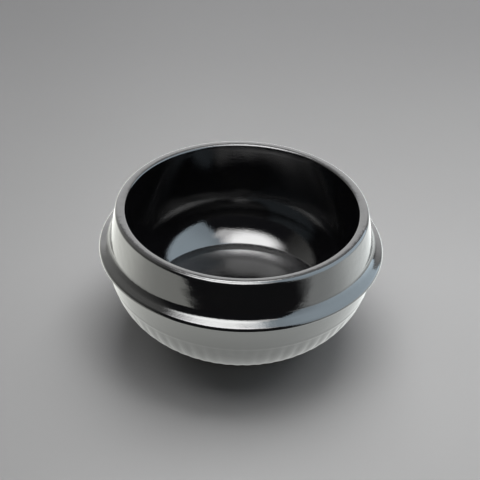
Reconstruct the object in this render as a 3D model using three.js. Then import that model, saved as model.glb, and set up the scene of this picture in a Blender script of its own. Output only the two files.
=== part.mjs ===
import * as THREE from 'three';

// A thick stoneware stew bowl: a turned clay body with a fluted belly, a sloping flange and a straight
// collar, glazed black inside and out, and bare only on its foot.
// Millimetres. The foot stands on z = 0 and everything turns about +Z.

// Driving dimensions
const bellyRadius = 77.2;      // widest part of the belly, just under the flange
const bellyHeight = 49.6;      // height of that widest part above the table
const bellyFullness = 2.35;    // exponent of the belly's curve, 2 would be an ellipse
const footInset = 33.7;        // how much narrower the belly's curve is where it reaches the table
const footRound = 2.4;         // softened outer edge of the foot
const footRingWidth = 8;       // flat ring that the bowl stands on
const footRecess = 1.6;        // hollow inside that ring
const footRecessSlope = 2.5;   // width of the slope into the hollow
const glazeFoot = 3;           // the outer glaze ends at this height
const flangeOverhang = 5.5;    // flange beyond the belly
const flangeRoot = 1;          // small hollow between the belly and the flange
const flangeEdge = 1.7;        // height of the flange's outer edge
const flangeLean = 0.6;        // how much that edge leans in on the way up
const flangeWidth = 6.1;       // flange top, from its edge in to the collar
const flangeRise = 3;          // how much the flange top climbs to the collar
const flangeRound = 0.8;       // softened edge of the flange
const collarHeight = 21.9;     // collar, from the flange top to the lip
const collarLean = 3.7;        // how much the collar leans in on the way up
const collarFillet = 2.6;      // glaze pooled where the collar meets the flange
const lipWidth = 5.7;
const lipRound = 1.9;          // softened edges of the lip
const wall = 7.8;              // finished wall at the belly's widest part
const chamberRise = 2.4;       // inside wall starts to curve this far above the belly's widest part
const chamberFullness = 2.4;   // exponent of the inside curve
const floorInset = 15.5;       // how much narrower the inside floor is than the chamber
const baseThickness = 11.1;    // clay and glaze between the foot's hollow and the middle of the floor
const floorStep = 0.6;         // low step round the inside floor
const wellInset = 6;           // flat ledge inside that step
const wellSlope = 6;           // width of the slope from the ledge to the middle of the floor
const wellDepth = 1.3;         // how much the middle of the floor is sunk
const fluteCount = 60;
const fluteDepth = 0.6;
const fluteDrop = 16;          // flutes start this far below the belly's widest part
const fluteStart = 3;          // short run-in at their top
const fluteFade = 5;           // long run-out above the foot
const fluteFoot = 3.5;         // flutes end at this height
const glaze = 0.9;             // thickness of the fired glaze
const bond = 0.3;              // clearance between a coat and the clay, and between the two coats
const seamDrop = 5;            // lining and outer coat meet this far below the lip

// Facets: two to a flute where there are flutes, fewer on the plain lining
const flutedSides = 2 * fluteCount;
const liningSides = 88;
const roundSteps = 2;
const chamberSteps = 5;
const fluteSteps = 4;
const bandSteps = 3;
const longestCut = 0.48;       // a softened corner takes at most this share of its shorter side

// Levels and radii that follow
const footRadius = bellyRadius - footInset;
const flangeRadius = bellyRadius + flangeOverhang;
const flangeHeight = bellyHeight + flangeRoot;
const collarRadius = flangeRadius - flangeWidth;
const collarBase = flangeHeight + flangeEdge + flangeRise;
const rimHeight = collarBase + collarHeight;
const lipRadius = collarRadius - collarLean;
const mouthRadius = lipRadius - lipWidth;
const chamberRadius = bellyRadius - wall;
const chamberHeight = bellyHeight + chamberRise;
const floorRadius = chamberRadius - floorInset;
const wellRadius = floorRadius - floorStep - wellInset;
const wellHeight = footRecess + baseThickness;
const floorHeight = wellHeight + wellDepth;
const chamberFoot = floorHeight + floorStep;
const fluteTop = bellyHeight - fluteDrop;
const seamHeight = rimHeight - seamDrop;

const point = (radius, height) => new THREE.Vector2(radius, height);

// Values from one end to the other, leaving out the first
function spread(from, to, steps) {
  return Array.from({ length: steps }, (_, i) => THREE.MathUtils.lerp(from, to, (i + 1) / steps));
}

// Radius of a full, rounded side that is upright at the top and narrows to a given radius at the bottom
function roundedSide(topRadius, topHeight, bottomRadius, bottomHeight, fullness) {
  const narrowing = 1 - (bottomRadius / topRadius) ** fullness;
  const depth = (topHeight - bottomHeight) / narrowing ** (1 / fullness);
  return (height) => topRadius * (1 - ((topHeight - height) / depth) ** fullness) ** (1 / fullness);
}

// Softens the corners of an outline, each cut back along both of its sides
function softened(corners) {
  const path = new THREE.Path();
  path.moveTo(corners[0].at.x, corners[0].at.y);
  corners.forEach(({ at, cut = 0 }, i) => {
    const before = corners[i - 1]?.at;
    const after = corners[i + 1]?.at;
    if (!before) return;
    if (!after || cut === 0) {
      path.lineTo(at.x, at.y);
      return;
    }
    const reach = Math.min(cut, longestCut * at.distanceTo(before), longestCut * at.distanceTo(after));
    const start = before.clone().sub(at).setLength(reach).add(at);
    const end = after.clone().sub(at).setLength(reach).add(at);
    path.lineTo(start.x, start.y);
    path.quadraticCurveTo(at.x, at.y, end.x, end.y);
  });
  return path.getPoints(roundSteps);
}

// Moves an outline sideways by a distance, to the right of the way it runs, with mitred corners
function setBack(line, distance) {
  const sides = line.slice(1).map((to, i) => to.clone().sub(line[i]).normalize());
  return line.map((at, i) => {
    const before = sides[Math.max(i - 1, 0)];
    const after = sides[Math.min(i, sides.length - 1)];
    const right = point(before.y + after.y, -before.x - after.x).normalize();
    const reach = distance / (right.x * after.y - right.y * after.x);
    return at.clone().addScaledVector(right, reach);
  });
}

// Finished inside, from the middle of the floor up to halfway between the chamber and the seam
const chamberSide = roundedSide(chamberRadius, chamberHeight, floorRadius, chamberFoot, chamberFullness);
const chamberHeights = [chamberFoot, ...spread(chamberFoot, chamberHeight, chamberSteps)];
function throatSide(height) {
  const share = (height - chamberHeight) / (rimHeight - chamberHeight);
  return THREE.MathUtils.lerp(chamberRadius, mouthRadius, share ** 2);
}
const throatMiddle = (chamberHeight + seamHeight) / 2;
const insideLine = [
  point(0, wellHeight),
  point(wellRadius - wellSlope, wellHeight),
  point(wellRadius, floorHeight),
  point(floorRadius - floorStep, floorHeight),
  ...chamberHeights.map((height) => point(chamberSide(height), height)),
  point(throatSide(throatMiddle), throatMiddle),
];
const seam = point(throatSide(seamHeight), seamHeight);

// Finished outside, from the seam over the lip, collar and flange and down the belly to the end of the glaze
const bellySide = roundedSide(bellyRadius, bellyHeight, footRadius, 0, bellyFullness);
function outsideCorners(steps) {
  const heights = [
    bellyHeight,
    ...spread(bellyHeight, fluteTop, steps.band),
    fluteTop - fluteStart,
    ...spread(fluteTop - fluteStart, fluteFoot + fluteFade, steps.flutes),
    glazeFoot,
  ];
  return [
    { at: seam },
    { at: point(mouthRadius, rimHeight), cut: lipRound },
    { at: point(lipRadius, rimHeight), cut: lipRound },
    { at: point(collarRadius, collarBase), cut: collarFillet },
    { at: point(flangeRadius - flangeLean, flangeHeight + flangeEdge), cut: flangeRound },
    { at: point(flangeRadius, flangeHeight), cut: flangeRound },
    { at: point(bellyRadius, flangeHeight), cut: flangeRoot },
    ...heights.map((height) => ({ at: point(bellySide(height), height) })),
  ];
}

// The clay under the glaze keeps sharp corners, so the glaze is thin on edges and thick in hollows
function underGlaze(depth) {
  const outside = outsideCorners({ band: 1, flutes: fluteSteps / 2 }).map(({ at }) => at);
  const back = setBack([...insideLine, ...outside], depth);
  back[0].x = 0;
  return { inside: back.slice(0, insideLine.length), outside: back.slice(insideLine.length) };
}

// Flutes are pressed into the outside of the belly, clay and glaze alike, and fade in and out along it
function pressFlutes(geometry) {
  const position = geometry.attributes.position;
  for (let i = 0; i < position.count; i += 1) {
    const x = position.getX(i);
    const y = position.getY(i);
    const height = position.getZ(i);
    const radius = Math.hypot(x, y);
    const run = Math.min((height - fluteFoot) / fluteFade, (fluteTop - height) / fluteStart, 1);
    if (run > 0 && radius > bellySide(height) - wall / 2) {
      const turn = Math.atan2(y, x);
      const hollow = fluteDepth * run * (0.5 - 0.5 * Math.cos(fluteCount * turn));
      const share = (radius - hollow) / radius;
      position.setXY(i, x * share, y * share);
    }
  }
}

function turned(name, outline, sides, material) {
  const geometry = new THREE.LatheGeometry(outline, sides);
  geometry.rotateX(Math.PI / 2);
  const mesh = new THREE.Mesh(geometry, material);
  mesh.name = name;
  return mesh;
}

const blackGlaze = { color: 0x0c0c0e, roughness: 0.08, metalness: 0 };

function makeClayBody() {
  const { inside, outside } = underGlaze(glaze + bond);
  const footEdge = footRadius - glaze - bond;
  const footInner = footEdge - footRingWidth;
  const foot = softened([
    { at: point(0, footRecess) },
    { at: point(footInner - footRecessSlope, footRecess) },
    { at: point(footInner, 0) },
    { at: point(footEdge, 0), cut: footRound },
    { at: outside[outside.length - 1] },
  ]);
  foot.pop();
  const clay = new THREE.MeshStandardMaterial({ color: 0xa89f90, roughness: 0.8, metalness: 0 });
  const body = turned('clay_body', [...foot, ...outside.reverse(), ...inside.reverse()], flutedSides, clay);
  pressFlutes(body.geometry);
  return body;
}

function makeGlazeLining() {
  const { inside, outside } = underGlaze(glaze);
  const top = seamHeight - bond;
  const back = [...inside, point(outside[0].x, top)];
  const finished = [...insideLine, point(seam.x, top)];
  const material = new THREE.MeshStandardMaterial(blackGlaze);
  return turned('glaze_lining', [...back, ...finished.reverse()], liningSides, material);
}

function makeGlazeOutside() {
  const back = underGlaze(glaze).outside;
  const finished = softened(outsideCorners({ band: bandSteps, flutes: fluteSteps }));
  const material = new THREE.MeshStandardMaterial(blackGlaze);
  const outline = [...back, ...finished.reverse(), back[0].clone()];
  const coat = turned('glaze_outside', outline, flutedSides, material);
  pressFlutes(coat.geometry);
  return coat;
}

const bowl = new THREE.Group();
bowl.name = 'stew_bowl';
bowl.add(makeClayBody(), makeGlazeLining(), makeGlazeOutside());

export default bowl;
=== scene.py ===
import math

import bmesh
import bpy
from mathutils import Matrix, Vector


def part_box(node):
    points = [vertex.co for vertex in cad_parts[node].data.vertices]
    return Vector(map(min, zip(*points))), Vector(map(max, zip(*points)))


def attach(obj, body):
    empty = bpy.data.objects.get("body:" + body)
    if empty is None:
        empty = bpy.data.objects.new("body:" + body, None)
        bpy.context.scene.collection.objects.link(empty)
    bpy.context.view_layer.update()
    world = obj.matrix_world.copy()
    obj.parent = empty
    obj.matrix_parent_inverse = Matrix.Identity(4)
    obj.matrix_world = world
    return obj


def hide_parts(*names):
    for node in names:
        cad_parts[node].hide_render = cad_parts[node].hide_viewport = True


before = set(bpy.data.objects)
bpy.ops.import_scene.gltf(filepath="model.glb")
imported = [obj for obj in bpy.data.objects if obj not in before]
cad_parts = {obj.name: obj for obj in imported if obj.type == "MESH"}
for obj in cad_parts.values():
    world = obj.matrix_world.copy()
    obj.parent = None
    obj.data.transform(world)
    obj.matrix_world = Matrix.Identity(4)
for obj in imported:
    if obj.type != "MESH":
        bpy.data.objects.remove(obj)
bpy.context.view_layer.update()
mm = 0.001                                  # the bowl's sizes are in millimetres, the scene is in metres
print("frame loaded:", ", ".join(sorted(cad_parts)))


# the bowl as it was turned; its reach, its height and the ends of its glaze come from the frame
coatLow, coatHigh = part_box("glaze_outside")
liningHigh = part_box("glaze_lining")[1]
edgeLoss = 0.27                             # what softening the flange's edge takes off its reach
bowl = {
    "flangeRadius": coatHigh.x / mm + edgeLoss,
    "rimHeight": coatHigh.z / mm,
    "glazeFoot": coatLow.z / mm,            # the outer glaze stops here, above the foot
    "liningTop": liningHigh.z / mm,         # the lining meets the outer coat here
    "flangeOverhang": 5.5,
    "flangeRoot": 1.0,                      # hollow between the belly and the flange
    "rootRound": 0.48,
    "flangeEdge": 2.2,
    "flangeLean": 0.6,                      # the edge leans out on the way down
    "flangeWidth": 6.1,
    "flangeRise": 3.0,
    "flangeRound": 0.9,
    "collarHeight": 21.4,
    "collarLean": 3.7,
    "collarFillet": 2.6,
    "lipWidth": 5.7,
    "lipCrown": 0.3,                        # the lip is slightly domed
    "lipRound": 1.4,
    "mouthRound": 0.9,                      # the lip is crisper towards the inside
    "bellyFullness": 2.35,
    "footInset": 33.7,
    "wall": 7.8,
    "chamberRise": 2.4,                     # the inside is widest this far above the belly's widest part
    "chamberFullness": 2.4,
    "floorInset": 15.5,
    "floorHeight": 14.0,
    "floorStep": 0.6,
    "wellInset": 6.0,                       # flat ledge round the floor's sunken middle
    "wellSlope": 10.0,
    "wellDepth": 1.8,
    "glaze": 0.9,
    "bond": 0.3,                            # clearance between a coat and the clay
}
bellyRadius = bowl["flangeRadius"] - bowl["flangeOverhang"]
collarRadius = bowl["flangeRadius"] - bowl["flangeWidth"]
collarBase = bowl["rimHeight"] - bowl["collarHeight"]
flangeTop = collarBase - bowl["flangeRise"]
flangeLow = flangeTop - bowl["flangeEdge"]
bellyHeight = flangeLow - bowl["flangeRoot"]
footRadius = bellyRadius - bowl["footInset"]
lipRadius = collarRadius - bowl["collarLean"]
mouthRadius = lipRadius - bowl["lipWidth"]
chamberRadius = bellyRadius - bowl["wall"]
chamberHeight = bellyHeight + bowl["chamberRise"]
floorRadius = chamberRadius - bowl["floorInset"]
chamberFoot = bowl["floorHeight"] + bowl["floorStep"]
wellRadius = floorRadius - bowl["floorStep"] - bowl["wellInset"]
wellFoot = wellRadius - bowl["wellSlope"]
seamHeight = bowl["liningTop"] + bowl["bond"]


# radius at a height of a full side, upright at its top and drawn in to its bottom
def roundedSide(topRadius, topHeight, bottomRadius, bottomHeight, fullness):
    narrowing = 1 - (bottomRadius / topRadius) ** fullness
    depth = (topHeight - bottomHeight) / narrowing ** (1 / fullness)
    return lambda height: topRadius * (1 - ((topHeight - height) / depth) ** fullness) ** (1 / fullness)


def evenly(start, stop, steps):
    return [start + (stop - start) * i / steps for i in range(steps + 1)]


bellySide = roundedSide(bellyRadius, bellyHeight, footRadius, 0, bowl["bellyFullness"])
chamberSide = roundedSide(chamberRadius, chamberHeight, floorRadius, chamberFoot, bowl["chamberFullness"])


# radius of the inside wall between the chamber and the mouth, drawn in slowly at first
def throatRadius(height):
    share = (height - chamberHeight) / (bowl["rimHeight"] - chamberHeight)
    return chamberRadius + (mouthRadius - chamberRadius) * share ** 2


# how far the floor is sunk at a radius, as a share: steepest at the rim of the well
def wellShare(radius):
    share = min(max((wellRadius - radius) / bowl["wellSlope"], 0), 1)
    return share * (2 - share)


# height across the lip, from its mouth side to its outer side
def lipHeight(share):
    return bowl["rimHeight"] - bowl["lipCrown"] * (2 * share - 1) ** 2


# finished inside, from the middle of the floor to the top of the chamber
def insideLine(wellSteps, slopeSteps, ledgeSteps, chamberSteps):
    radii = evenly(0, wellFoot, wellSteps)[:-1] + evenly(wellFoot, wellRadius, slopeSteps)[:-1]
    radii += evenly(wellRadius, floorRadius - bowl["floorStep"], ledgeSteps)
    line = [(r, bowl["floorHeight"] - bowl["wellDepth"] * wellShare(r), 0) for r in radii]
    return line + [(chamberSide(h), h, 0) for h in evenly(chamberFoot, chamberHeight, chamberSteps)]


# shares of the way along the lip, collar and flange where points keep them true next to their softened ends
supports = {"lip": evenly(0.18, 0.73, 6), "collar": (0.10, 0.2, 0.4, 0.6, 0.8, 0.87), "flange": (0.45, 0.83)}
noSupports = dict.fromkeys(supports, ())


# points along a straight run between two corners
def along(start, stop, shares):
    return [(start[0] + (stop[0] - start[0]) * t, start[1] + (stop[1] - start[1]) * t, 0) for t in shares]


# finished outside, from the seam over the lip, collar and flange and down the belly; the third value softens
def outsideLine(bellyLevels, places):
    mouth = (mouthRadius, lipHeight(0), bowl["mouthRound"])
    lip = (lipRadius, lipHeight(1), bowl["lipRound"])
    collar = (collarRadius, collarBase, bowl["collarFillet"])
    flange = (bowl["flangeRadius"] - bowl["flangeLean"], flangeTop, bowl["flangeRound"])
    line = [(throatRadius(seamHeight), seamHeight, 0), mouth]
    line += [(mouthRadius + bowl["lipWidth"] * t, lipHeight(t), 0) for t in places["lip"]] + [lip]
    line += along(lip, collar, places["collar"]) + [collar]
    line += along(collar, flange, places["flange"]) + [flange]
    line += [(bowl["flangeRadius"], flangeLow, bowl["flangeRound"])]
    line += [(bellyRadius, flangeLow, bowl["rootRound"])]
    return line + [(bellySide(h), h, 0) for h in bellyLevels]


# an outline moved to the right of the way it runs, with mitred corners
def setBack(line, distance):
    points = [Vector(p[:2]) for p in line]
    sides = [(b - a).normalized() for a, b in zip(points, points[1:])]
    moved = []
    for i, at in enumerate(points):
        before, after = sides[max(i - 1, 0)], sides[min(i, len(sides) - 1)]
        right = Vector((before.y + after.y, -before.x - after.x)).normalized()
        reach = distance / (right.x * after.y - right.y * after.x)
        moved.append((max(at.x + right.x * reach, 0), at.y + right.y * reach, 0))
    return moved


# a wire of (radius, height, softening) points, its soft corners rounded off
def profileWire(line, closed=False, cornerSteps=1):
    bm = bmesh.new()
    verts = [bm.verts.new((r * mm, 0, h * mm)) for r, h, soft in line]
    for a, b in zip(verts, verts[1:] + verts[:1] if closed else verts[1:]):
        bm.edges.new((a, b))
    for vert, (r, h, soft) in zip(verts, line):
        if soft:
            bmesh.ops.bevel(bm, geom=[vert], offset=soft * mm, offset_type="OFFSET", segments=cornerSteps,
                            profile=0.5, affect="VERTICES", material=-1)
    return bm


# a twelfth of the turn is spun first and then repeated, which is much quicker than one long spin
spinning = {"sectors": 12, "weld": 0.002, "crispFrom": 50}  # weld in millimetres, angle in degrees


def spinRound(bm, sides):
    sectors = spinning["sectors"]
    bmesh.ops.spin(bm, geom=bm.verts[:] + bm.edges[:], cent=(0, 0, 0), axis=(0, 0, 1),
                   angle=math.tau / sectors, steps=sides // sectors)
    bmesh.ops.spin(bm, geom=bm.verts[:] + bm.edges[:] + bm.faces[:], cent=(0, 0, 0), axis=(0, 0, 1),
                   angle=math.tau * (sectors - 1) / sectors, steps=sectors - 1, use_duplicate=True)
    bmesh.ops.remove_doubles(bm, verts=bm.verts[:], dist=spinning["weld"] * mm)
    bmesh.ops.recalc_face_normals(bm, faces=bm.faces[:])
    for edge in bm.edges:                   # a coat's cut end stays crisp
        edge.smooth = edge.calc_face_angle(0) < math.radians(spinning["crispFrom"])


def finishPiece(bm, name, finish, node):
    for face in bm.faces:
        face.smooth = True
    mesh = bpy.data.meshes.new(name)
    bm.to_mesh(mesh)
    bm.free()
    mesh.materials.append(finish)
    piece = bpy.data.objects.new(name, mesh)
    bpy.context.collection.objects.link(piece)
    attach(piece, "root")
    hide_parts(node)
    print(name, "done:", len(mesh.polygons), "faces")


# a socket of a node tree: sums on it add Math nodes, and any other node comes from node()
class Wire:
    def __init__(self, tree, socket=None):
        self.tree, self.socket = tree, socket

    def node(self, kind, settings, sockets, out=0):
        made = self.tree.nodes.new(kind)
        for name, value in settings.items():
            setattr(made, name, value)
        for name, value in sockets.items():
            if isinstance(value, Wire):
                self.tree.links.new(value.socket, made.inputs[name])
            else:
                made.inputs[name].default_value = value
        return Wire(self.tree, made.outputs[out] if made.outputs else None)

    def sum(self, operation, a, b):
        return self.node("ShaderNodeMath", {"operation": operation}, {0: a, 1: b})

    def __add__(self, other):
        return self.sum("ADD", self, other)

    def __sub__(self, other):
        return self.sum("SUBTRACT", self, other)

    def __rsub__(self, other):
        return self.sum("SUBTRACT", other, self)

    def __mul__(self, other):
        return self.sum("MULTIPLY", self, other)

    __radd__ = __add__
    __rmul__ = __mul__


def newFinish(name):
    finish = bpy.data.materials.new(name)
    finish.use_nodes = True
    finish.node_tree.nodes.clear()
    return finish, Wire(finish.node_tree)


def objectPlace(wire):
    return wire.node("ShaderNodeTexCoord", {}, {}, "Object")


def axisOf(place, axis):
    return place.node("ShaderNodeSeparateXYZ", {}, {"Vector": place}, axis)


def noise(place, scale, detail):
    return place.node("ShaderNodeTexNoise", {}, {"Vector": place, "Scale": scale, "Detail": detail})


def farFrom(place, centre):
    return place.node("ShaderNodeVectorMath", {"operation": "DISTANCE"}, {0: place, 1: centre}, "Value")


def mixColour(wire, share, a, b):
    return wire.node("ShaderNodeMix", {"data_type": "RGBA"}, {0: share, 6: a, 7: b}, 2)


# a smooth step from 0 to 1 between two values, either way round
def ramp(value, start, stop):
    return value.node("ShaderNodeMapRange", {"interpolation_type": "SMOOTHSTEP"},
                      {"Value": value, "From Min": start, "From Max": stop})


def skinOf(height):
    return height.node("ShaderNodeBump", {}, {"Strength": 1.0, "Distance": 1.0, "Height": height})


# black glaze: a deep gloss with a fine orange peel and slow waves, duller between two heights if need be
glazeLook = {
    "black": (0.0085, 0.0085, 0.0105, 1),
    "thin": (0.0125, 0.0122, 0.0122, 1),
    "index": 1.55,
    "gloss": 0.04,                          # roughness where it is glossiest
    "haze": 0.05,                           # roughness added in dull patches
    "patchScale": 55.0, "patchDetail": 3.0,
    "patchLow": 0.25,                       # the patches' value where it is glossiest
    "peelSize": 0.8, "peelHeight": 0.03,    # orange peel, in millimetres
    "swellSize": 7.0, "swellHeight": 0.08,  # slow waves in the poured glaze
    "waveDetail": 1.0,
    "dull": 0.0,                            # roughness added between two heights
    "dullTop": (0.2, 0.0),                  # each sets in from its first value to its second
    "dullFoot": (-0.1, 0.5),
}


def glazeFinish(name, look):
    finish, start = newFinish(name)
    where = objectPlace(start)
    level = axisOf(where, "Z")
    peel = noise(where, 1 / (look["peelSize"] * mm), look["waveDetail"])
    swell = noise(where, 1 / (look["swellSize"] * mm), look["waveDetail"])
    patch = noise(where, look["patchScale"], look["patchDetail"])
    dull = ramp(level, look["dullTop"][0] * mm, look["dullTop"][1] * mm)
    dull = dull * ramp(level, look["dullFoot"][0] * mm, look["dullFoot"][1] * mm)
    height = peel * (look["peelHeight"] * mm) + swell * (look["swellHeight"] * mm)
    base = look["gloss"] - look["haze"] * look["patchLow"]
    rough = patch * look["haze"] + dull * look["dull"] + base
    shader = start.node("ShaderNodeBsdfPrincipled", {}, {
        "Base Color": mixColour(start, patch, look["black"], look["thin"]), "Roughness": rough,
        "IOR": look["index"], "Normal": skinOf(height)})
    start.node("ShaderNodeOutputMaterial", {}, {"Surface": shader})
    return finish


# bare fired clay on the foot: warm grey, matt, with dark grains
clayLook = {
    "pale": (0.42, 0.36, 0.29, 1),
    "dark": (0.27, 0.22, 0.17, 1),
    "cloudScale": 70.0, "cloudDetail": 5.0,
    "grain": (0.07, 0.055, 0.045, 1),
    "grainSize": 1.6,                       # in millimetres, as is the tooth
    "grainEdge": (0.12, 0.2),
    "grainShare": 0.7,
    "tooth": 0.06,                          # height of the rough surface
    "toothScale": 1800.0, "toothDetail": 3.0,
    "rough": 0.72, "cloudRough": 0.15,
}


def clayFinish(name, look):
    finish, start = newFinish(name)
    where = objectPlace(start)
    cloud = noise(where, look["cloudScale"], look["cloudDetail"])
    spots = start.node("ShaderNodeTexVoronoi", {}, {"Vector": where, "Scale": 1 / (look["grainSize"] * mm)})
    inner, outer = look["grainEdge"]
    grain = start.node("ShaderNodeMapRange", {}, {
        "Value": spots, "From Min": inner, "From Max": outer, "To Min": 1.0, "To Max": 0.0})
    tooth = noise(where, look["toothScale"], look["toothDetail"])
    ground = mixColour(start, cloud, look["dark"], look["pale"])
    shader = start.node("ShaderNodeBsdfPrincipled", {}, {
        "Base Color": mixColour(start, grain * look["grainShare"], ground, look["grain"]),
        "Roughness": cloud * look["cloudRough"] + look["rough"],
        "Normal": skinOf(tooth * (look["tooth"] * mm))})
    start.node("ShaderNodeOutputMaterial", {}, {"Surface": shader})
    return finish


# flutes pressed into the belly below a plain band, with a low bead along their tops
flutes = {
    "count": 60, "depth": 0.34,
    "crisp": 1.6,                           # above 1 the hollows are narrower than the ridges
    "top": bellyHeight - 16.0, "runIn": 6.0,
    "foot": 3.5, "fade": 5.0,
    "bead": 0.14, "beadHalf": 1.3,
}


def pressFlutes(bm, look):
    for vert in bm.verts:
        height = vert.co.z / mm
        radius = math.hypot(vert.co.x, vert.co.y) / mm
        if height > bellyHeight or radius < bellySide(height) - bowl["wall"] / 2:
            continue
        turn = math.atan2(vert.co.y, vert.co.x)
        run = max(min((height - look["foot"]) / look["fade"], (look["top"] - height) / look["runIn"], 1), 0)
        hollow = look["depth"] * run * (0.5 - 0.5 * math.cos(look["count"] * turn)) ** look["crisp"]
        bead = look["bead"] * max(1 - ((height - look["top"]) / look["beadHalf"]) ** 2, 0)
        vert.co.xy *= 1 + (bead - hollow) / radius


# outer coat: lip, collar, flange and fluted belly, closed by its back against the clay
coat = {
    "sidesPerFlute": 10, "cornerSteps": 8,
    "bandSteps": 12, "beadSteps": 16, "fluteSteps": 32,
    "beadAbove": 1.5, "beadBelow": 2.5,     # stretch with close steps around the bead
    "backSteps": 8, "insideSteps": (1, 3, 1, 5),
}
beadTop, beadFoot = flutes["top"] + coat["beadAbove"], flutes["top"] - coat["beadBelow"]
levels = evenly(bellyHeight, beadTop, coat["bandSteps"])[:-1]
levels += evenly(beadTop, beadFoot, coat["beadSteps"])[:-1]
levels += evenly(beadFoot, bowl["glazeFoot"], coat["fluteSteps"])
backLevels = evenly(bellyHeight, bowl["glazeFoot"], coat["backSteps"])
inside = insideLine(*coat["insideSteps"])
wholeLine = inside + outsideLine(backLevels, noSupports)
coatBack = setBack(wholeLine, bowl["glaze"])[len(inside):]
coatLine = outsideLine(levels, supports) + coatBack[::-1]
coatWire = profileWire(coatLine, closed=True, cornerSteps=coat["cornerSteps"])
spinRound(coatWire, flutes["count"] * coat["sidesPerFlute"])
pressFlutes(coatWire, flutes)
outsideFinish = glazeFinish("blackGlazeOutside", glazeLook)
finishPiece(coatWire, "outerGlaze", outsideFinish, "glaze_outside")


# the floor's sunken middle is uneven: for some places along its slope, their angle and half width in degrees
# and how much deeper they are
well = {
    "hollows": [(92, 14, 0.2), (60, 13, 0.25), (135, 26, -0.7), (22, 20, -0.5)],
    "calm": 12.0,                           # even out to this radius
}


def pressWell(bm):
    for vert in bm.verts:
        radius = math.hypot(vert.co.x, vert.co.y) / mm
        sunk = bowl["wellDepth"] * wellShare(radius)
        if radius > wellRadius or vert.co.z / mm < bowl["floorHeight"] - sunk - bowl["glaze"] / 2:
            continue
        turn = math.degrees(math.atan2(vert.co.y, vert.co.x))
        depth = 0
        for at, half, deep in well["hollows"]:
            aside = (turn - at + 180) % 360 - 180
            depth += deep * math.exp(-(aside / half) ** 2)
        inward = min(max((radius - well["calm"]) / (wellFoot - well["calm"]), 0), 1)
        vert.co.z -= depth * wellShare(radius) * inward ** 2 * (3 - 2 * inward) * mm


# lining: the floor with its sunken middle, the rounded chamber and the wall up to the seam
lining = {
    "sides": 264,
    "steps": (16, 22, 10, 44),              # of the well, its slope, the ledge and the chamber
    "throatSteps": 10,
    "backSteps": (1, 3, 1, 8),
}
wellLow = bowl["floorHeight"] - bowl["wellDepth"]
insideLook = {
    **glazeLook,
    "swellHeight": 0.03,
    "dull": 0.18,                          # on the slope of the sunken middle
    "dullTop": (bowl["floorHeight"] + 0.2, bowl["floorHeight"]),
    "dullFoot": (wellLow - 0.1, wellLow + 0.5),
}
finished = insideLine(*lining["steps"])
finished += [(throatRadius(h), h, 0) for h in evenly(chamberHeight, seamHeight, lining["throatSteps"])][1:]
seamPoint = (throatRadius(seamHeight), seamHeight, 0)
liningBack = setBack(insideLine(*lining["backSteps"]) + [seamPoint], bowl["glaze"])
liningBack[0] = (0, liningBack[0][1], 0)
liningBack[-1] = (liningBack[-1][0], seamHeight, 0)
liningWire = profileWire(finished + liningBack[::-1])
spinRound(liningWire, lining["sides"])
pressWell(liningWire)
insideFinish = glazeFinish("blackGlazeInside", insideLook)
finishPiece(liningWire, "liningGlaze", insideFinish, "glaze_lining")


# clay: the thick body between the two coats, seen only on the foot
clay = {
    "sidesPerFlute": 4, "cornerSteps": 6,
    "footRing": 8.0, "footRound": 1.152, "ringRound": 0.6,
    "recess": 1.6, "recessSlope": 2.5, "recessRound": 1.0,
}
under = setBack(wholeLine, bowl["glaze"] + bowl["bond"])
under[0] = (0, under[0][1], 0)
footEdge = footRadius - bowl["glaze"] - bowl["bond"]
footInner = footEdge - clay["footRing"]
foot = [
    (0, clay["recess"], 0),
    (footInner - clay["recessSlope"], clay["recess"], clay["recessRound"]),
    (footInner, 0, clay["ringRound"]),
    (footEdge, 0, clay["footRound"]),
]
clayWire = profileWire(under + foot[::-1], cornerSteps=clay["cornerSteps"])
spinRound(clayWire, flutes["count"] * clay["sidesPerFlute"])
pressFlutes(clayWire, flutes)
finishPiece(clayWire, "clayBody", clayFinish("bareClay", clayLook), "clay_body")


# floor: the camera sees a pale grey sheet with the bowl's shadow and painted shade, and the glaze mirrors a
# white table with a painted shadow round the foot
table = {
    "width": 8.0,
    "near": (0.645, 0.645, 0.647, 1), "nearLeft": (0.5, 0.5, 0.502, 1),      # seen by the camera, with painted shade
    "far": (0.28, 0.28, 0.283, 1), "farLeft": (0.255, 0.255, 0.258, 1),
    "nearEdge": -0.16, "farEdge": 0.46, "grain": 0.03, "grainScale": 6.0, "grainDetail": 2.0,
    "leftFrom": 0.0, "leftTo": -0.2,
    "white": 3.75,                                                          # mirrored by the glaze
    "left": (0.99, 1.0, 0.94, 1), "right": (0.96, 1.0, 0.99, 1), "tintHalf": 0.2,
    "shadeAt": (-0.003, 0.008, 0), "shadeFrom": 0.035, "shadeTo": 0.145,    # painted shadow, darker round the foot
    "dim": 0.33, "dimFrom": 0.05, "dimTo": -0.12,                           # painted shade, darker towards the front
    "dimNear": 0.13, "dimFar": 0.20,
    "backDim": 0.44, "backFrom": -0.02, "backTo": 0.11,                     # painted shade, darker behind the bowl
    "front": (0.015, 0.015, 0.016, 1),                                      # beyond the front edge
    "frontEdge": -0.196, "frontSlant": 0.144, "frontSoft": 0.012,
    "rightSlant": 0.7, "rightFrom": 0.03, "rightTo": 0.17,                  # white again on the far right
}
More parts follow.
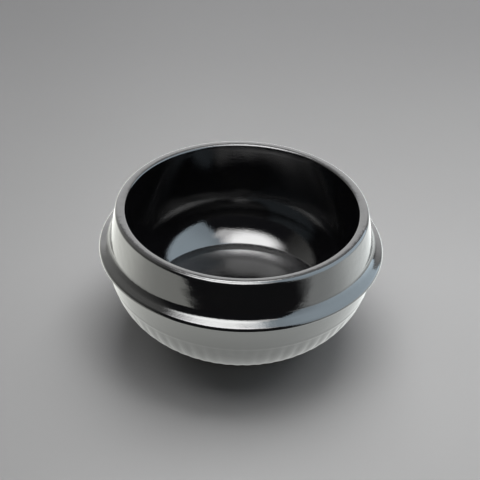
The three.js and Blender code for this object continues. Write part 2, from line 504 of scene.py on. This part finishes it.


# the table as the glaze mirrors it: white, with painted shadow round the foot, painted shade in front and
# behind, dark beyond its front edge
def mirroredTable(where, across, away, look):
    # painted shadow round the foot, then painted shade towards the front and behind the bowl
    reach = farFrom(where, look["shadeAt"])
    lit = ramp(reach, look["shadeFrom"], look["shadeTo"])
    forward = ramp(away, look["dimFrom"], look["dimTo"])
    dim = forward * ramp(reach, look["dimNear"], look["dimFar"]) * look["dim"]
    behind = ramp(away, look["backFrom"], look["backTo"]) * look["backDim"]
    front = away - across * look["frontSlant"]
    edge = ramp(front, look["frontEdge"], look["frontEdge"] + look["frontSoft"])
    farRight = ramp(across + away * look["rightSlant"], look["rightFrom"], look["rightTo"])
    edge = 1 - (1 - edge) * (1 - farRight)
    tint = mixColour(where, ramp(across, -look["tintHalf"], look["tintHalf"]), look["left"], look["right"])
    return mixColour(where, lit * edge * (1 - dim) * (1 - behind), look["front"], tint)


# the table as the camera sees it: pale grey, with painted shade that makes it darker with distance and
# towards the left
def seenTable(where, across, away, look):
    grain = noise(where, look["grainScale"], look["grainDetail"])
    # painted shade: darker with distance and towards the left
    distance = ramp(away + (grain - 0.5) * look["grain"], look["nearEdge"], look["farEdge"])
    side = ramp(across, look["leftFrom"], look["leftTo"])
    near = mixColour(where, side, look["near"], look["nearLeft"])
    far = mixColour(where, side, look["far"], look["farLeft"])
    return mixColour(where, distance, near, far)


def tableFinish(look):
    finish, start = newFinish("paleTable")
    where = objectPlace(start)
    across, away = axisOf(where, "X"), axisOf(where, "Y")
    matt = start.node("ShaderNodeBsdfDiffuse", {}, {"Color": seenTable(where, across, away, look)})
    white = start.node("ShaderNodeEmission", {}, {
        "Color": mirroredTable(where, across, away, look), "Strength": look["white"]})
    glossyRay = start.node("ShaderNodeLightPath", {}, {}, "Is Glossy Ray")
    both = start.node("ShaderNodeMixShader", {}, {0: glossyRay, 1: matt, 2: white})
    start.node("ShaderNodeOutputMaterial", {}, {"Surface": both})
    return finish


def stagePlane(name, size, finish):
    bm = bmesh.new()
    bmesh.ops.create_grid(bm, x_segments=1, y_segments=1, size=0.5)
    bmesh.ops.scale(bm, vec=(size[0], size[1], 1), verts=bm.verts[:])
    mesh = bpy.data.meshes.new(name)
    bm.to_mesh(mesh)
    bm.free()
    mesh.materials.append(finish)
    plane = bpy.data.objects.new(name, mesh)
    bpy.context.collection.objects.link(plane)
    return plane


stagePlane("table", (table["width"], table["width"]), tableFinish(table))


# cards that only the glaze mirrors: "soft" is how far each fades out at its left, right, bottom and top,
# a grade takes it from one share to another along an axis, and "round" is a disc's middle, full part and edge
upright = math.radians(90)
cards = {
    "overheadBox": {"at": (-0.40, -0.585, 1.30), "turn": (0, 0, 0), "size": (1.54, 1.664),
                    "level": 17.5, "colour": (1, 1, 1), "soft": (0.02, 0.22, 0.02, 0.02), "grades": [],
                    "round": (0.17, 0.045, 0.286, 0.81)},
    "backBox": {"at": (-0.035, 0.70, 1.31), "turn": (0, 0, 0), "size": (0.53, 1.04),
                "level": 20.0, "colour": (1, 1, 1), "soft": (0.18, 0.20, 0.26, 0.38), "grades": []},
    "cornerBox": {"at": (0.27, -0.70, 1.33), "turn": (0, 0, 0), "size": (0.44, 0.52),
                  "level": 9.0, "colour": (1, 1, 1), "soft": (0.10, 0.16, 0.12, 0.16), "grades": []},
    "frontBox": {"at": (0.21, -1.054, 1.36), "turn": (0, 0, 0), "size": (1.16, 0.775),
                 "level": 7.5, "colour": (1, 1, 1), "soft": (0.30, 0.25, 0.27, 0.22), "grades": []},
    "rightScreen": {"at": (0.663, -0.10, 1.49), "turn": (math.radians(74), 0, upright), "size": (2.0, 3.1),
                    "level": 4.55, "colour": (0.84, 1.0, 1.12), "soft": (0.16, 0.10, 0.02, 0.06),
                    "grades": [("X", -0.85, -0.10, 0.74, 1.0), ("Y", -0.25, 0.55, 1.0, 0.8)]},
    "leftWall": {"at": (-1.25, 0.405, 1.37), "turn": (upright, 0, upright), "size": (2.69, 2.74),
                 "level": 1.5, "colour": (1, 1, 0.96), "soft": (0.40, 0.06, 0.02, 0.60),
                 "grades": [("X", -1.53, 1.10, 0.1, 1.0)]},
    "backSheet": {"at": (0.0, 1.35, 1.3), "turn": (upright, 0, 0), "size": (3.8, 2.6),
                  "level": 3.45, "colour": (1, 1, 1), "soft": (1.60, 1.60, 0.02, 0.50),
                  "grades": [("Y", -1.3, -0.55, 0.65, 1.0), ("Y", -0.23, -0.13, 1.0, 0.35)]},
}


def cardFinish(name, look):
    finish, start = newFinish(name)
    where = objectPlace(start)
    axes = {axis: axisOf(where, axis) for axis in "XY"}
    halfWide, halfHigh = look["size"][0] / 2, look["size"][1] / 2
    left, right, bottom, top = look["soft"]
    fade = ramp(axes["X"], -halfWide, left - halfWide) * ramp(axes["X"], halfWide, halfWide - right)
    fade = fade * ramp(axes["Y"], -halfHigh, bottom - halfHigh) * ramp(axes["Y"], halfHigh, halfHigh - top)
    if "round" in look:
        x, y, full, edge = look["round"]
        fade = fade * ramp(farFrom(where, (x, y, 0)), edge, full)
    glow = (*look["colour"], 1)
    for axis, low, high, first, last in look["grades"]:
        share = ramp(axes[axis], low, high) * (last - first) + first
        glow = mixColour(start, share, (0, 0, 0, 1), glow)
    shine = start.node("ShaderNodeEmission", {}, {"Color": glow, "Strength": look["level"]})
    clear = start.node("ShaderNodeBsdfTransparent", {}, {})
    both = start.node("ShaderNodeMixShader", {}, {0: fade, 1: clear, 2: shine})
    start.node("ShaderNodeOutputMaterial", {}, {"Surface": both})
    return finish


for name, look in cards.items():
    card = stagePlane(name, look["size"], cardFinish(name, look))
    card.location, card.rotation_euler = look["at"], look["turn"]
    card.visible_camera = card.visible_diffuse = card.visible_shadow = card.visible_transmission = False
print("surroundings done:", len(cards), "cards")


# lamps for the table alone, which the glaze doesn't mirror: one from behind casts the soft shadow
lamps = {
    "tableLamp": {"at": (0.10, 0.60, 1.02), "aim": (0, 0, 0.03), "size": (1.0, 1.1), "level": 2.45},
    "topPanel": {"at": (0.0, -0.10, 1.0), "aim": (0, -0.10, 0), "size": (1.0, 0.4), "level": 0.95},
    "leftPanel": {"at": (-0.85, 0.65, 0.45), "aim": (0, 0, 0), "size": (0.6, 0.6), "level": 1.5},
    "rightPanel": {"at": (0.85, 0.65, 0.45), "aim": (0, 0, 0), "size": (0.6, 0.6), "level": 2.0},
}
wattsPerLevel = 4                           # for each square metre of a lamp
for name, look in lamps.items():
    light = bpy.data.lights.new(name, "AREA")
    light.shape = "RECTANGLE"
    light.size, light.size_y = look["size"]
    light.energy = look["level"] * wattsPerLevel * light.size * light.size_y
    holder = bpy.data.objects.new(name, light)
    holder.location = look["at"]
    holder.rotation_euler = (Vector(look["aim"]) - Vector(look["at"])).to_track_quat("-Z", "Y").to_euler()
    holder.visible_camera = holder.visible_glossy = False
    bpy.context.collection.objects.link(holder)

# the dark studio around the table
dark = {
    "light": (0.018, 0.018, 0.018, 1),      # what it adds to the light
    "mirrored": (0.06, 0.062, 0.072, 1),    # what the glaze mirrors of it
    "seen": (0.24, 0.24, 0.243, 1),         # what the camera sees of it
}
world = bpy.data.worlds.new("studio")
world.use_nodes = True
world.node_tree.nodes.clear()
sky = Wire(world.node_tree)
cameraRay = sky.node("ShaderNodeLightPath", {}, {}, "Is Camera Ray")
glossyRay = sky.node("ShaderNodeLightPath", {}, {}, "Is Glossy Ray")
tone = mixColour(sky, cameraRay, mixColour(sky, glossyRay, dark["light"], dark["mirrored"]), dark["seen"])
sky.node("ShaderNodeOutputWorld", {}, {"Surface": sky.node("ShaderNodeBackground", {}, {"Color": tone})})
bpy.context.scene.world = world
print("light done:", len(lamps), "lamps")


# camera: a long lens looking down at the bowl, rolled slightly
shot = {
    "lens": 135.0, "sensor": 36.0,
    "from": (-0.0002, -0.8545, 0.6595), "at": (-0.0007, 0.0019, 0.0531),
    "roll": 1.936,
}
lens = bpy.data.cameras.new("photoCamera")
lens.lens, lens.sensor_width = shot["lens"], shot["sensor"]
camera = bpy.data.objects.new("photoCamera", lens)
facing = (Vector(shot["at"]) - Vector(shot["from"])).to_track_quat("-Z", "Y").to_matrix().to_4x4()
roll = Matrix.Rotation(math.radians(shot["roll"]), 4, "Z")
camera.matrix_world = Matrix.Translation(shot["from"]) @ facing @ roll
bpy.context.collection.objects.link(camera)
bpy.context.scene.camera = camera
bpy.context.scene.view_settings.view_transform = "Standard"
print("camera done:", shot["lens"], "mm lens")
